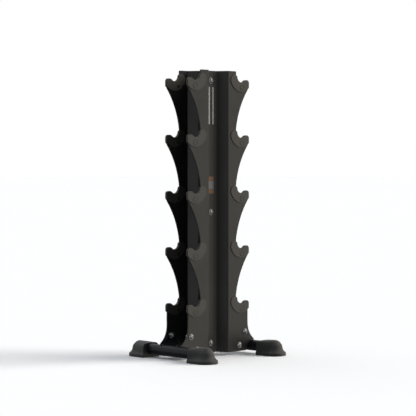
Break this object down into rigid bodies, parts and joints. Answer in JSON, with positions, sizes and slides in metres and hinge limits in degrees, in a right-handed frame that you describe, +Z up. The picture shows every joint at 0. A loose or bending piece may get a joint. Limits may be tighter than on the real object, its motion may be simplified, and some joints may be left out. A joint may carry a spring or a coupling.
{
  "type": "dumbbell rack",
  "caption": "Free-standing vertical rack that holds pairs of dumbbells by their handles, in moulded saddles on the hooked wings of two bent steel uprights.",
  "frame": {"origin": "middle of the rack's footprint, on the floor", "axes": "+Z up, -Y out of the front upright, X from the left base tube to the right one"},
  "size_m": [0.4522, 0.4386, 1.0761],
  "materials": {
    "upright_paint": "satin powder coat, dark warm grey",
    "base_paint": "semi-gloss powder coat, near black",
    "foot_rubber": "moulded rubber, smooth with a dull sheen",
    "saddle_plastic": "moulded plastic, fine matte texture, dark warm grey",
    "zinc_hardware": "bright zinc-plated steel",
    "black_screw": "black oxide steel",
    "stripe_film": "mid-grey printed film",
    "label_film": "glossy printed film, orange bands and a pale middle, blank"
  },
  "bodies": {
    "root": {"front_upright": "upright_paint", "rear_upright": "upright_paint", "spacer_bottom": "base_paint", "spacer_middle": "base_paint", "spacer_top": "base_paint", "base_tube_left": "base_paint", "base_tube_right": "base_paint", "gusset_front_left": "base_paint", "gusset_front_right": "base_paint", "gusset_rear_left": "base_paint", "gusset_rear_right": "base_paint", "foot_front_left": "foot_rubber", "foot_front_right": "foot_rubber", "foot_rear_left": "foot_rubber", "foot_rear_right": "foot_rubber", "saddle_screws_front_left": "black_screw", "saddle_screws_front_right": "black_screw", "saddle_screws_rear_left": "black_screw", "saddle_screws_rear_right": "black_screw", "column_bolts": "zinc_hardware", "column_nuts": "zinc_hardware", "wing_bolts": "zinc_hardware", "wing_nuts": "zinc_hardware", "washers": "zinc_hardware", "stripe_sticker": "stripe_film", "plain_label": "label_film", "saddle_1_front_left": "saddle_plastic", "saddle_1_front_right": "saddle_plastic", "saddle_1_rear_left": "saddle_plastic", "saddle_1_rear_right": "saddle_plastic", "saddle_2_front_left": "saddle_plastic", "saddle_2_front_right": "saddle_plastic", "saddle_2_rear_left": "saddle_plastic", "saddle_2_rear_right": "saddle_plastic", "saddle_3_front_left": "saddle_plastic", "saddle_3_front_right": "saddle_plastic", "saddle_3_rear_left": "saddle_plastic", "saddle_3_rear_right": "saddle_plastic", "saddle_4_front_left": "saddle_plastic", "saddle_4_front_right": "saddle_plastic", "saddle_4_rear_left": "saddle_plastic", "saddle_4_rear_right": "saddle_plastic", "saddle_5_front_left": "saddle_plastic", "saddle_5_front_right": "saddle_plastic", "saddle_5_rear_left": "saddle_plastic", "saddle_5_rear_right": "saddle_plastic"}
  },
  "joints": []
}
